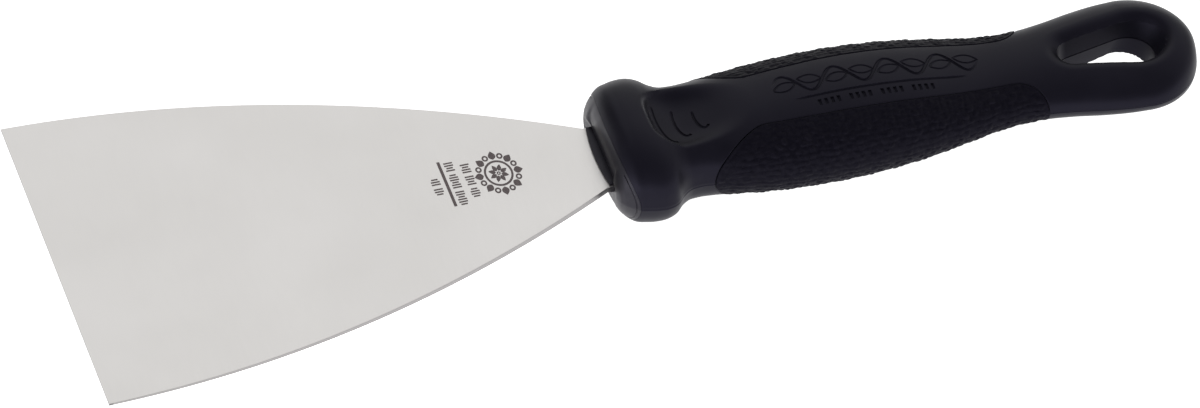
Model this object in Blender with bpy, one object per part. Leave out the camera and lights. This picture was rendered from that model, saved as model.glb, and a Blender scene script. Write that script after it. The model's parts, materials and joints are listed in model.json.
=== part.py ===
"""Ink knife: a wide triangular steel blade moulded into a two-material handle with a hang loop.

Units are metres and +Z is up. +X runs from the blade's edge to the hang loop, the blade lies in
the plane Z = 0, and the origin is the centre of the knife. The two faces are alike, and so are
the two sides. A station is a distance along the knife from the blade's edge.
"""

import math

import bmesh
import bpy
import numpy as np

MM = 0.001

# Driving dimensions
LENGTH = 226.3 * MM
GAP = 0.3 * MM  # left between two pieces that touch

# Blade and tang
EDGE_HALF_WIDTH = 40 * MM
EDGE_HALF_THICKNESS = 0.22 * MM
SHEET_HALF_THICKNESS = 0.62 * MM
SIDE_SLOPE = 0.023  # of each side of the blade, where it leaves the edge
SIDE_BEND = 2.53  # per metre: how fast the sides turn towards the neck
SIDE_STEPS = 18
NECK_HALF_WIDTH = 9 * MM
TAPER_END = 105 * MM
NECK_END = 109.4 * MM
TANG_HALF_WIDTH = 6 * MM
TANG_END = 166 * MM
LOCK_HOLE_STATIONS = (122 * MM, 140 * MM, 158 * MM)
LOCK_HOLE_RADIUS = 2.2 * MM
LOCK_HOLE_STEPS = 16

# Handle: station, half width and half thickness in mm, as far as the centre of the loop's end
HANDLE_PROFILE = (
    (107.6, 11.2, 3.6),
    (107.9, 12.4, 5.0),
    (108.5, 13.5, 6.5),
    (109.4, 14.5, 7.9),
    (110.8, 15.7, 9.2),
    (112.8, 16.4, 9.8),
    (115.0, 16.9, 9.8),
    (117.0, 16.9, 9.4),
    (118.8, 16.1, 8.9),
    (120.4, 14.3, 8.5),
    (122.0, 13.1, 8.3),
    (124.0, 12.7, 8.3),
    (127.0, 13.0, 8.2),
    (131.0, 13.9, 8.1),
    (138.3, 15.3, 8.3),
    (147.0, 15.9, 8.65),
    (155.0, 15.9, 8.8),
    (162.0, 15.5, 8.5),
    (169.0, 14.8, 7.8),
    (177.0, 13.5, 6.5),
    (185.0, 12.0, 5.5),
    (192.0, 11.5, 5.3),
    (199.0, 12.4, 5.4),
    (205.0, 13.7, 5.6),
    (210.0, 14.5, 5.6),
    (214.0, 14.8, 5.5),
)
LOOP_CENTRE = HANDLE_PROFILE[-1][0] * MM
HANDLE_SQUARENESS = 2.05  # exponent of the cross sections, where 2 is an ellipse
LOOP_EDGE_SQUARENESS = 3.4  # exponent of the loop's rounded end, seen from the side
HANDLE_SIDES = 36
BOLSTER_ROWS = 13  # rows of the profile that are sections themselves, where it bends most
GRIP_STATIONS = 23
LOOP_STATIONS = 8
TIP = 0.03 * MM  # where a form would end in a point, it is cut this short

# Hang hole: a teardrop, with its narrow end towards the grip
HOLE_SMALL_STATION, HOLE_SMALL_RADIUS = 202.4 * MM, 2.9 * MM
HOLE_LARGE_STATION, HOLE_LARGE_RADIUS = 213.2 * MM, 5.3 * MM
HOLE_STEPS = 12

# Thumb rests: a scoop in each face behind the bolster
THUMB_STATION = 124.6 * MM
THUMB_RADII = (8.8 * MM, 13.5 * MM, 5.0 * MM)
THUMB_HEIGHT = 11.2 * MM
THUMB_SEGMENTS = 32

# Core: a bar moulded on the tang, with an oval cap at the front and a thin lip on the blade
CORE_PROFILE = (
    (110.0, 8.6, 3.7),
    (118.0, 8.2, 3.7),
    (125.0, 7.6, 3.4),
    (148.0, 9.0, 4.1),
    (164.0, 8.0, 3.3),
    (171.0, 6.8, 2.4),
)
CORE_STATIONS = 9
CORE_SIDES = 20
CAP_HALF_WIDTH = 16.6 * MM
CAP_HALF_THICKNESS = 4.9 * MM
CAP_SQUARENESS = 2.4
CAP_FRONT = 106 * MM  # in front of the handle, so that the handle's own form shapes the cap
CAP_BACK = 111.4 * MM
LIP_FRONT = 107.3 * MM  # at its two ends
LIP_BULGE = 0.55 * MM  # further forward at its middle
LIP_BACK = 109.6 * MM
LIP_HALF_THICKNESS = 1.9 * MM

# Front hollow: the bolster's front is set back between its two lobes
HOLLOW_BACK = 109.1 * MM
HOLLOW_BACK_HALF_WIDTH = 9.3 * MM
HOLLOW_FRONT_HALF_WIDTH = 11.6 * MM

# Grip pads: a window in each side, from a pointed front to a blunt rear
PAD_FRONT = 126.9 * MM
PAD_REAR = 193.9 * MM
PAD_FRONT_SWEEP = 11.6 * MM
PAD_REAR_SWEEP = 6.9 * MM
PAD_FRONT_EXPONENT = 1.6
PAD_REAR_EXPONENT = 2.8
PAD_FRONT_ANGLE = math.radians(65)  # of the seam above the mid-plane, at the front of the window
PAD_REAR_ANGLE = math.radians(57)
PAD_DEPTH = 2.0 * MM
PAD_PROUD = 0.35 * MM
PAD_ROOM_PROUD = 3 * MM  # the room for a pad is cut this far out, so that it opens at the surface
PAD_STEPS = 12
PAD_SWEEP_STATIONS = 6
PAD_MIDDLE_STATIONS = 9
PAD_LEVER = 14 * MM  # turns a gap along the surface into an angle

# Colours are linear RGB
STEEL = ((0.66, 0.65, 0.64), 0.32, 1.0)
SKIN = ((0.0105, 0.0105, 0.0160), 0.42, 0.0)
CORE = ((0.0120, 0.0110, 0.0115), 0.50, 0.0)
PAD = ((0.0085, 0.0080, 0.0130), 0.62, 0.0)


def clear_scene():
    for old in list(bpy.data.objects):
        bpy.data.objects.remove(old, do_unlink=True)


def make_collection(name, visible):
    collection = bpy.data.collections.new(name)
    bpy.context.scene.collection.children.link(collection)
    collection.hide_render = not visible
    return collection


def make_material(name, look):
    """A Principled material from a base colour, a roughness and a metallic value."""
    color, roughness, metallic = look
    material = bpy.data.materials.new(name)
    material.use_nodes = True
    shader = material.node_tree.nodes["Principled BSDF"]
    shader.inputs["Base Color"].default_value = (*color, 1)
    shader.inputs["Roughness"].default_value = roughness
    shader.inputs["Metallic"].default_value = metallic
    material.diffuse_color = (*color, 1)
    return material


def add_object(name, mesh, collection, material=None):
    """Places a mesh made in stations, so that the middle of the knife comes to the origin."""
    made = bpy.data.objects.new(name, mesh)
    made.location.x = -LENGTH / 2
    collection.objects.link(made)
    if material:
        mesh.materials.append(material)
        mesh.shade_smooth()
        mesh.set_sharp_from_angle(angle=math.radians(35))
    else:
        made.hide_render = True
        made.display_type = "WIRE"
    return made


def keep_as_cutter(helper, name, cutters):
    """Applies a primitive's scale, and moves it to the cutters."""
    helper.name = name
    bpy.ops.object.transform_apply(location=False, rotation=False, scale=True)
    for holder in list(helper.users_collection):
        holder.objects.unlink(helper)
    cutters.objects.link(helper)
    helper.hide_render = True
    helper.display_type = "WIRE"
    return helper


def loft(rings, name):
    """A closed mesh through rings of points, which are of one length, with a face at each end."""
    build = bmesh.new()
    loops = [[build.verts.new(point) for point in ring] for ring in rings]
    for low, high in zip(loops, loops[1:]):
        for i in range(len(low)):
            j = (i + 1) % len(low)
            build.faces.new((low[i], low[j], high[j], high[i]))
    build.faces.new(loops[0])
    build.faces.new(loops[-1])
    bmesh.ops.recalc_face_normals(build, faces=build.faces)
    mesh = bpy.data.meshes.new(name)
    build.to_mesh(mesh)
    build.free()
    return mesh


def plate(outlines, half_thickness, name):
    """A closed mesh of even thickness about Z = 0. The second outline and later ones are holes."""
    curve = bpy.data.curves.new(name, "CURVE")
    curve.dimensions = "2D"
    curve.fill_mode = "BOTH"
    curve.extrude = half_thickness
    for outline in outlines:
        spline = curve.splines.new("POLY")
        spline.points.add(len(outline) - 1)
        for point, (x, y) in zip(spline.points, outline):
            point.co = (x, y, 0, 1)
        spline.use_cyclic_u = True
    guide = bpy.data.objects.new(name, curve)
    bpy.context.scene.collection.objects.link(guide)
    graph = bpy.context.evaluated_depsgraph_get()
    mesh = bpy.data.meshes.new_from_object(guide.evaluated_get(graph))
    bpy.data.objects.remove(guide, do_unlink=True)
    build = bmesh.new()
    build.from_mesh(mesh)
    bmesh.ops.remove_doubles(build, verts=build.verts, dist=0.001 * MM)
    build.to_mesh(mesh)
    build.free()
    return mesh


def boolean(target, operation, other):
    modifier = target.modifiers.new(f"{operation.lower()} {other.name}", "BOOLEAN")
    modifier.operation = operation
    modifier.object = other
    modifier.solver = "EXACT"


def read_profile(table, station):
    """Half width and half thickness at a station, on a smooth curve through a table's rows."""
    rows = np.array(table) * MM
    stations, values = rows[:, 0], rows[:, 1:]
    slopes = np.gradient(values, stations, axis=0)
    i = int(np.clip(np.searchsorted(stations, station) - 1, 0, len(stations) - 2))
    span = stations[i + 1] - stations[i]
    t = (station - stations[i]) / span
    start = (1 + 2 * t) * (1 - t) ** 2 * values[i] + t * (1 - t) ** 2 * span * slopes[i]
    end = t**2 * (3 - 2 * t) * values[i + 1] + t**2 * (t - 1) * span * slopes[i + 1]
    return start + end


def handle_size(station):
    """Half width and half thickness of the handle's outer form."""
    half_width, half_thickness = read_profile(HANDLE_PROFILE, min(station, LOOP_CENTRE))
    if station > LOOP_CENTRE:
        along = (station - LOOP_CENTRE) / (LENGTH - LOOP_CENTRE)
        half_width *= math.sqrt(1 - along**2)
        half_thickness *= (1 - along**LOOP_EDGE_SQUARENESS) ** (1 / LOOP_EDGE_SQUARENESS)
    return half_width, half_thickness


def section_point(station, size, angle, squareness):
    """A point of a superelliptic cross section, at an angle above the mid-plane."""
    cosine, sine = math.cos(angle), math.sin(angle)
    y = size[0] * math.copysign(abs(cosine) ** (2 / squareness), cosine)
    z = size[1] * math.copysign(abs(sine) ** (2 / squareness), sine)
    return station, y, z


def section(station, size, squareness, sides):
    angles = [2 * math.pi * i / sides for i in range(sides)]
    return [section_point(station, size, angle, squareness) for angle in angles]


def handle_form(name):
    """The handle's whole outer form, from the bolster's front to the end of the loop."""
    stations = [row[0] * MM for row in HANDLE_PROFILE[:BOLSTER_ROWS]]
    stations += list(np.linspace(stations[-1], LOOP_CENTRE, GRIP_STATIONS)[1:])
    turn = np.linspace(0, math.pi / 2, LOOP_STATIONS + 1)[1:]
    stations += [LOOP_CENTRE + (LENGTH - LOOP_CENTRE) * math.sin(angle) for angle in turn]
    rings = []
    for station in stations:
        size = handle_size(min(station, LENGTH - TIP))
        rings.append(section(station, size, HANDLE_SQUARENESS, HANDLE_SIDES))
    return loft(rings, name)


def blade_half_width(station):
    return EDGE_HALF_WIDTH - SIDE_SLOPE * station - SIDE_BEND * station**2


def neck_start():
    """The station at which the curved sides come down to the neck's width."""
    fall = EDGE_HALF_WIDTH - NECK_HALF_WIDTH
    return (math.sqrt(SIDE_SLOPE**2 + 4 * SIDE_BEND * fall) - SIDE_SLOPE) / (2 * SIDE_BEND)


def circle(station, radius):
    angles = [2 * math.pi * i / LOCK_HOLE_STEPS for i in range(LOCK_HOLE_STEPS)]
    return [(station + radius * math.cos(a), radius * math.sin(a)) for a in angles]


def tang_outline(start, grow):
    """One side of the neck and tang, from a station on the neck to the tang's rounded end."""
    corner = TANG_HALF_WIDTH / 2
    end = TANG_END + grow
    half_width = TANG_HALF_WIDTH + grow
    side = [(start, NECK_HALF_WIDTH + grow), (NECK_END + grow, NECK_HALF_WIDTH + grow)]
    side.append((NECK_END + NECK_HALF_WIDTH - TANG_HALF_WIDTH + grow, half_width))
    for angle in np.radians((0, 30, 60, 90)):
        x = end - corner + corner * math.sin(angle)
        side.append((x, half_width - corner + corner * math.cos(angle)))
    return side


def both_sides(side):
    return side + [(x, -y) for x, y in reversed(side)]


def make_blade(collection):
    side = [(0, EDGE_HALF_WIDTH)]
    for i in range(1, SIDE_STEPS):
        station = neck_start() * i / SIDE_STEPS
        side.append((station, blade_half_width(station)))
    side += tang_outline(neck_start(), 0)
    holes = [circle(station, LOCK_HOLE_RADIUS) for station in LOCK_HOLE_STATIONS]
    mesh = plate([both_sides(side), *holes], SHEET_HALF_THICKNESS, "blade")
    build = bmesh.new()
    build.from_mesh(mesh)
    everything = build.verts[:] + build.edges[:] + build.faces[:]
    bmesh.ops.bisect_plane(build, geom=everything, plane_co=(TAPER_END, 0, 0), plane_no=(1, 0, 0))
    for vertex in build.verts:
        thinned = (1 - vertex.co.x / TAPER_END) * (1 - EDGE_HALF_THICKNESS / SHEET_HALF_THICKNESS)
        vertex.co.z *= 1 - max(0, thinned)
    build.to_mesh(mesh)
    build.free()
    return add_object("blade", mesh, collection, make_material("brushed steel", STEEL))


def make_tang_cutter(cutters):
    """The room for the neck and tang. Its holes leave the core's pins standing."""
    outline = both_sides(tang_outline(CAP_FRONT, GAP))
    pins = [circle(station, LOCK_HOLE_RADIUS - GAP) for station in LOCK_HOLE_STATIONS]
    mesh = plate([outline, *pins], SHEET_HALF_THICKNESS + GAP, "tang room")
    return add_object("tang room", mesh, cutters)


def core_bar(name, grow):
    """The core behind the cap, or the room for it."""
    stations = np.linspace(CORE_PROFILE[0][0], CORE_PROFILE[-1][0], CORE_STATIONS) * MM
    rings = []
    for station in stations:
        size = read_profile(CORE_PROFILE, station) + grow
        rings.append(section(station, size, 2, CORE_SIDES))
    rings[-1] = [(x + grow, y, z) for x, y, z in rings[-1]]
    return loft(rings, name)


def cap_block(name, grow):
    """An oval block along X, from in front of the handle to the back of the cap."""
    size = (CAP_HALF_WIDTH + grow, CAP_HALF_THICKNESS + grow)
    stations = (CAP_FRONT, CAP_BACK + grow)
    rings = [section(station, size, CAP_SQUARENESS, HANDLE_SIDES) for station in stations]
    return loft(rings, name)


def make_lip(cutters):
    """A thin tongue over each face of the blade, with a front that bulges forward."""
    outline = [(LIP_BACK, -NECK_HALF_WIDTH), (LIP_BACK, NECK_HALF_WIDTH)]
    for across in np.linspace(1, -1, 9):
        outline.append((LIP_FRONT - LIP_BULGE * (1 - across**2), NECK_HALF_WIDTH * across))
    return add_object("lip", plate([outline], LIP_HALF_THICKNESS, "lip"), cutters)


def make_front_hollow(cutters):
    outline = [(CAP_FRONT, -HOLLOW_FRONT_HALF_WIDTH), (HOLLOW_BACK, -HOLLOW_BACK_HALF_WIDTH)]
    outline += [(HOLLOW_BACK, HOLLOW_BACK_HALF_WIDTH), (CAP_FRONT, HOLLOW_FRONT_HALF_WIDTH)]
    mesh = plate([outline], HANDLE_PROFILE[6][2] * MM, "front hollow")
    return add_object("front hollow", mesh, cutters)


def make_core(collection, cutters, hollow):
    mesh = handle_form("handle_core")
    core = add_object("handle_core", mesh, collection, make_material("core plastic", CORE))
    boolean(core, "DIFFERENCE", hollow)
    boolean(core, "INTERSECT", add_object("cap block", cap_block("cap block", 0), cutters))
    boolean(core, "UNION", add_object("core bar", core_bar("core bar", 0), cutters))
    boolean(core, "UNION", make_lip(cutters))
    boolean(core, "DIFFERENCE", make_tang_cutter(cutters))
    return core


def pad_half_angle(station, grow):
    """Half the angle that the pad's window takes up round the handle, seen along X."""
    front, rear = PAD_FRONT - grow, PAD_REAR + grow
    along = (station - front) / (rear - front)
    angle = PAD_FRONT_ANGLE + (PAD_REAR_ANGLE - PAD_FRONT_ANGLE) * along + grow / PAD_LEVER
    if station < front + PAD_FRONT_SWEEP:
        short, exponent = (front + PAD_FRONT_SWEEP - station) / PAD_FRONT_SWEEP, PAD_FRONT_EXPONENT
    elif station > rear - PAD_REAR_SWEEP:
        short, exponent = (station - rear + PAD_REAR_SWEEP) / PAD_REAR_SWEEP, PAD_REAR_EXPONENT
    else:
        return angle
    return angle * max(0, 1 - short**exponent) ** (1 / exponent)


def pad_form(name, grow, depth, proud):
    """A slab of the handle's side: the pad itself, or the room that it lies in."""
    front, rear = PAD_FRONT - grow, PAD_REAR + grow
    turn = np.linspace(0, math.pi / 2, PAD_SWEEP_STATIONS + 1)
    stations = [front + PAD_FRONT_SWEEP * (1 - math.cos(a)) for a in turn]
    stations += list(
        np.linspace(front + PAD_FRONT_SWEEP, rear - PAD_REAR_SWEEP, PAD_MIDDLE_STATIONS)[1:]
    )
    stations += [rear - PAD_REAR_SWEEP * (1 - math.sin(a)) for a in turn[1:]]
    stations[0] += TIP
    stations[-1] -= TIP
    rings = []
    for station in stations:
        limit = pad_half_angle(station, grow)
        angles = np.linspace(-limit, limit, PAD_STEPS + 1)
        width, thickness = handle_size(station)
        outer = (width + proud, thickness + proud)
        inner = (width - depth, thickness - depth)
        ring = [section_point(station, outer, a, HANDLE_SQUARENESS) for a in angles]
        ring += [section_point(station, inner, a, HANDLE_SQUARENESS) for a in angles[::-1]]
        rings.append(ring)
    return loft(rings, name)


def make_pad(side, collection, material):
    mesh = pad_form(f"grip_pad_{side}", 0, PAD_DEPTH, PAD_PROUD)
    return add_object(f"grip_pad_{side}", mesh, collection, material)


def hole_outline():
    """The teardrop: an arc round each end, and straight sides that touch both arcs."""
    spread = (HOLE_LARGE_RADIUS - HOLE_SMALL_RADIUS) / (HOLE_LARGE_STATION - HOLE_SMALL_STATION)
    touch = math.pi / 2 + math.asin(spread)
    large = np.linspace(-touch, touch, HOLE_STEPS)
    small = np.linspace(touch, 2 * math.pi - touch, HOLE_STEPS)
    outline = []
    for station, radius, angles in (
        (HOLE_LARGE_STATION, HOLE_LARGE_RADIUS, large),
        (HOLE_SMALL_STATION, HOLE_SMALL_RADIUS, small),
    ):
        outline += [(station + radius * math.cos(a), radius * math.sin(a)) for a in angles]
    return outline


def make_thumb_cutter(side, cutters):
    rings = THUMB_SEGMENTS // 2
    bpy.ops.mesh.primitive_uv_sphere_add(segments=THUMB_SEGMENTS, ring_count=rings, radius=1)
    scoop = bpy.context.object
    scoop.scale = THUMB_RADII
    scoop.location = (THUMB_STATION - LENGTH / 2, 0, side * THUMB_HEIGHT)
    return keep_as_cutter(scoop, "thumb scoop", cutters)


def make_body(collection, cutters, hollow, pads):
    mesh = handle_form("handle_body")
    body = add_object("handle_body", mesh, collection, make_material("skin plastic", SKIN))
    boolean(body, "DIFFERENCE", hollow)
    boolean(body, "DIFFERENCE", add_object("cap room", cap_block("cap room", GAP), cutters))
    boolean(body, "DIFFERENCE", add_object("core room", core_bar("core room", GAP), cutters))
    hole = plate([hole_outline()], 2 * HANDLE_PROFILE[-1][2] * MM, "hang hole")
    boolean(body, "DIFFERENCE", add_object("hang hole", hole, cutters))
    for side in (-1, 1):
        boolean(body, "DIFFERENCE", make_thumb_cutter(side, cutters))
    for pad in pads:
        room_mesh = pad_form(f"{pad.name} room", GAP, PAD_DEPTH + GAP, PAD_ROOM_PROUD)
        room = add_object(f"{pad.name} room", room_mesh, cutters)
        room.rotation_euler = pad.rotation_euler
        boolean(body, "DIFFERENCE", room)
    return body


def main():
    clear_scene()
    knife = make_collection("ink_knife", True)
    cutters = make_collection("cutters", False)
    make_blade(knife)
    hollow = make_front_hollow(cutters)
    make_core(knife, cutters, hollow)
    rubber = make_material("grip rubber", PAD)
    pads = [make_pad("left", knife, rubber), make_pad("right", knife, rubber)]
    pads[1].rotation_euler.x = math.pi
    make_body(knife, cutters, hollow, pads)


main()
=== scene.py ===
"""Looks of the ink knife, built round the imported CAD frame.

A wide triangular steel blade with an etched mark, and a moulded black handle: a front cap on the
blade, a satin body with thumb rests and a hang hole, and two woven-texture grip pads. Units are
metres. A station is a distance along the knife from the blade's edge, as in the CAD. The forms
follow the CAD's own profiles at a finer step, with the mouldings that the CAD leaves out.
"""

import json
import math

import bmesh
import bpy
import numpy as np
from mathutils import Matrix, Vector
from mathutils.kdtree import KDTree

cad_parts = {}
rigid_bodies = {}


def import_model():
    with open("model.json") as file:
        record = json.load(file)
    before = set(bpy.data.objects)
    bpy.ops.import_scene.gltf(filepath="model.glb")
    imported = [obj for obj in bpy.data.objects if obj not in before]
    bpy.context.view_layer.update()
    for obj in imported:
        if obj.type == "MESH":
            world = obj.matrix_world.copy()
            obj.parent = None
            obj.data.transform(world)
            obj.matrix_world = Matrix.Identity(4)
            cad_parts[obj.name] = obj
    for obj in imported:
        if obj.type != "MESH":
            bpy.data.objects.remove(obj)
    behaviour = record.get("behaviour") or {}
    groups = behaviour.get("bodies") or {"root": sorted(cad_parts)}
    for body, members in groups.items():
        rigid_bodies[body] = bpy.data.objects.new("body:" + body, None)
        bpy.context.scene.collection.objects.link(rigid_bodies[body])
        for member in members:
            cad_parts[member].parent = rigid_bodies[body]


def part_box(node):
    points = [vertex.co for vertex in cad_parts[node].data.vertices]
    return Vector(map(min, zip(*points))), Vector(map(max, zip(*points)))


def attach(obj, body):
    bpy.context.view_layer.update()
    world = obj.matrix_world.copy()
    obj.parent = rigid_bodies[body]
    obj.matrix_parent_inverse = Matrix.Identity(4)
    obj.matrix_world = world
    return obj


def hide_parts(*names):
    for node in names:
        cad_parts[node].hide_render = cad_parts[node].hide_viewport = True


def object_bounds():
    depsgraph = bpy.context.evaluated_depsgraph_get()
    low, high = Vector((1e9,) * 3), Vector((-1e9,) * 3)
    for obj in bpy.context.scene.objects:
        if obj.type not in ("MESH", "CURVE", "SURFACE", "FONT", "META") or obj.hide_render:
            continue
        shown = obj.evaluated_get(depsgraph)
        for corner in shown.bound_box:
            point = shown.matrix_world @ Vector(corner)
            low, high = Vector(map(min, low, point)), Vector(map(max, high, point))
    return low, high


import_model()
CAD_LOW, CAD_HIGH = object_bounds()

MM = 0.001
LENGTH = CAD_HIGH.x - CAD_LOW.x

# Blade and tang, as in the CAD but for a neck that is a little narrower
EDGE_HALF_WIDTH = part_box("blade")[1].y
EDGE_HALF_THICKNESS = 0.22 * MM
SHEET_HALF_THICKNESS = 0.62 * MM
SIDE_SLOPE = 0.023  # of each side of the blade, where it leaves the edge
SIDE_BEND = 2.53  # per metre: how fast the sides turn towards the neck
SIDE_STEPS = 60
NECK_HALF_WIDTH = 8.75 * MM
TAPER_END = 105 * MM
NECK_END = 109.4 * MM
TANG_HALF_WIDTH = 6 * MM
TANG_END = 166 * MM
LOCK_HOLE_STATIONS = (122 * MM, 140 * MM, 158 * MM)
LOCK_HOLE_RADIUS = 2.2 * MM
LOCK_HOLE_STEPS = 32
ARRIS = 0.07 * MM  # the small rounding of the sheet's edges

# Handle, as in the CAD: station, half width and half thickness in mm. The bolster is a hair
# thinner, so that the finer curve stays within the CAD's own thickness.
HANDLE_PROFILE = (
    (107.6, 11.2, 3.6),
    (107.9, 12.4, 5.0),
    (108.5, 13.5, 6.5),
    (109.4, 14.5, 7.9),
    (110.8, 15.7, 9.2),
    (112.8, 16.4, 9.72),
    (115.0, 16.9, 9.72),
    (117.0, 16.9, 9.4),
    (118.8, 16.1, 8.9),
    (120.4, 14.3, 8.5),
    (122.0, 13.1, 8.3),
    (124.0, 12.7, 8.3),
    (127.0, 13.0, 8.2),
    (131.0, 13.9, 8.1),
    (138.3, 15.3, 8.3),
    (147.0, 15.9, 8.65),
    (155.0, 15.9, 8.8),
    (162.0, 15.5, 8.5),
    (169.0, 14.8, 7.8),
    (177.0, 13.5, 6.5),
    (185.0, 12.0, 5.5),
    (192.0, 11.5, 5.3),
    (199.0, 12.4, 5.4),
    (205.0, 13.7, 5.6),
    (210.0, 14.5, 5.6),
    (214.0, 14.8, 5.5),
)
HANDLE_FRONT = HANDLE_PROFILE[0][0] * MM
LOOP_CENTRE = HANDLE_PROFILE[-1][0] * MM
HANDLE_SQUARENESS = 2.05
BOLSTER_SQUARENESS = 2.47  # of the bolster's upper half, which is fuller
FULL_END, FULL_FADE = 140 * MM, 18 * MM  # where that has faded out, and over what length
LOOP_EDGE_SQUARENESS = 3.4
TIP = 0.03 * MM  # where a form would end in a point, it is cut this short
PARTING_DRAFT = math.tan(math.radians(13))  # each mould half leans in by this at the parting line
PARTING_REACH = 0.6  # share of the half thickness over which the lean fades out
PARTING_GROOVE = 0.12 * MM
PARTING_GROOVE_WIDTH = 0.1 * MM

# Hang hole, as in the CAD at the mid-plane, with the draft and the rolled rim of the moulding
HOLE_SMALL_STATION, HOLE_SMALL_RADIUS = 202.4 * MM, 2.9 * MM
HOLE_LARGE_STATION, HOLE_LARGE_RADIUS = 213.2 * MM, 5.3 * MM
HOLE_DRAFTS = (math.tan(math.radians(7)), math.tan(math.radians(10)))  # upper half, at each end
HOLE_LOWER_DRAFTS = (math.tan(math.radians(2)), math.tan(math.radians(4)))  # lower half
HOLE_LEAN = 0.36  # the large end moves back by this times the height above the mid-plane
HOLE_RIM_HEIGHT = 3.7 * MM  # where the drafted wall meets the rolled rim
HOLE_RIM_WIDTH = 3.0 * MM
HOLE_RIM_ANGLE = math.radians(58)  # slope of the rolled rim where it meets the wall
HOLE_RIM_LOWEST = 2 * MM  # the rim rolls no lower than this above the mid-plane
HOLE_CUT_HEIGHT = 9 * MM  # half the height of the cutter, clear of the handle
HOLE_STEPS, HOLE_LEVELS = 40, 18  # along each end's arc, and from the mid-plane to the top
HOLE_LINE_HALF_WIDTH, HOLE_LINE_DEPTH = 0.13 * MM, 0.25 * MM  # parting groove inside the hole

# Thumb rests: a shallow dish with a steep front wall, and three finger-nail grooves in it
DISH_FLOOR = 5.55 * MM
DISH_BOW = 2.0  # per metre: the floor rises towards its two sides by this times y squared
DISH_LIP = 1.25 * MM  # and by this more at the dish's half width, as the fourth power of y
DISH_RISE = 60.0  # per metre: in front of the climb it rises by this times the distance squared
DISH_FRONT = 118.0 * MM
DISH_FRONT_ROUND = 3.1 * MM
DISH_HALF_WIDTH = 7.7 * MM
DISH_WALL_SLOPE = 1.35
DISH_CLIMB_START, DISH_CLIMB_END = 123.5 * MM, 132.5 * MM
DISH_CLIMB = 1.85 * MM
DISH_CLIMB_EXPONENT = 1.6
DISH_SOFTNESS = 1.2 * MM
GROOVE_RADIUS = 0.32 * MM
GROOVES = (  # in mm, centre station, centre y, radii along and across; in degrees, the two ends
    (121.2, 1.0, 2.4, 7.1, 28, -97),
    (124.0, 0.3, 1.65, 4.5, 43, -112),
    (127.7, 0.7, 1.4, 4.0, 20, -122),
)

# Core: its bar as in the CAD, a cap with a rounded back, and a thinner lip
CORE_PROFILE = (
    (110.0, 8.6, 3.7),
    (118.0, 8.2, 3.7),
    (125.0, 7.6, 3.4),
    (148.0, 9.0, 4.1),
    (164.0, 8.0, 3.3),
    (171.0, 6.8, 2.4),
)
CAP_FRONT = 106 * MM
CAP_SHOULDER = 108 * MM  # behind this the cap closes to a rounded back, as its seam shows
CAP_BACK = 111.2 * MM
CAP_HALF_WIDTH = 16.8 * MM
CAP_HALF_THICKNESS = 7.4 * MM
CAP_SQUARENESS = 3
CAP_ROUNDNESS = 2.4
LIP_FRONT = 107.2 * MM
LIP_BULGE = 0.62 * MM
LIP_BACK = 109.6 * MM
LIP_HALF_WIDTH = 8.2 * MM
LIP_HALF_THICKNESS = 1.25 * MM
HOLLOW_DEPTH = 0.7 * MM  # the bolster's front is set back by this between its two lobes
HOLLOW_HALF_WIDTH, HOLLOW_SIDE = 9.4 * MM, 1.3 * MM
HOLLOW_TOP, HOLLOW_ROUND = 7.5 * MM, 6.5 * MM
HOLLOW_BACK, HOLLOW_FADE = 113 * MM, 5.4 * MM
FRONT_SHARES = (0.04, 0.28, 0.52, 0.76)  # sizes of the rings that close the handle's front
SEAM = 0.05 * MM  # the visible gap between two moulded pieces
RING_INSET = 0.65 * MM  # a fine ring runs round each end of the cap, this far inside its seam
RING_RADIUS = 0.16 * MM
RING_START = 0.43  # radians round the cap's rounded back, from its top
RING_PASSES = 8  # enough for the ring's points to settle on both surfaces

# Grip pads, as in the CAD but hardly proud of the body, and with a woven texture
PAD_FRONT = 126.9 * MM
PAD_REAR = 193.9 * MM
PAD_FRONT_SWEEP = 11.6 * MM
PAD_REAR_SWEEP = 6.9 * MM
PAD_FRONT_EXPONENT = 1.6
PAD_REAR_EXPONENT = 2.8
PAD_FRONT_ANGLE = math.radians(65)
PAD_REAR_ANGLE = math.radians(57)
PAD_DEPTH = 2.0 * MM
PAD_PROUD = 0.08 * MM
PAD_LEVER = 14 * MM  # turns a gap along the surface into an angle
PAD_RADIUS = 12.5 * MM  # about the handle's radius where the pads are widest
PAD_EDGE_ROUND = 0.14 * MM
BODY_EDGE_ROUND = 0.3 * MM
STRIP_LENGTH = 15.5 * MM  # about the length round the body from a pad to the other pad
WEAVE_PITCH = 1.2 * MM
WEAVE_HEIGHT = 0.36 * MM
WEAVE_SINK = 0.6  # share of that height by which the texture is let into the surface
WEAVE_START, WEAVE_FADE = 0.175 * MM, 0.5 * MM  # smooth rim, and the length to its full height
WEAVE_WANDER, WANDER_LENGTH = 0.16 * MM, 0.9 * MM
YARN_ARCH = 0.55 * math.pi  # radians of a cosine arch that a yarn makes over each crossing
YARN_SLIMNESS = 1.9  # the pitch divided by a yarn's half width
YARN_WEAR = 0.4  # a worn crossing is lower by up to twice this share
WEAR_TURNS = ((2.3, 4.1), (-0.9, 1.7))  # radians per crossing of the two waves that spread the wear
PAD_STEP_ALONG, PAD_STEP_ACROSS = 0.18375 * MM, 0.175 * MM
PAD_EDGE_CROWD = 0.035  # how much closer the points lie at the pad's long edges
PAD_FLOOR_STEPS = 14

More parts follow.
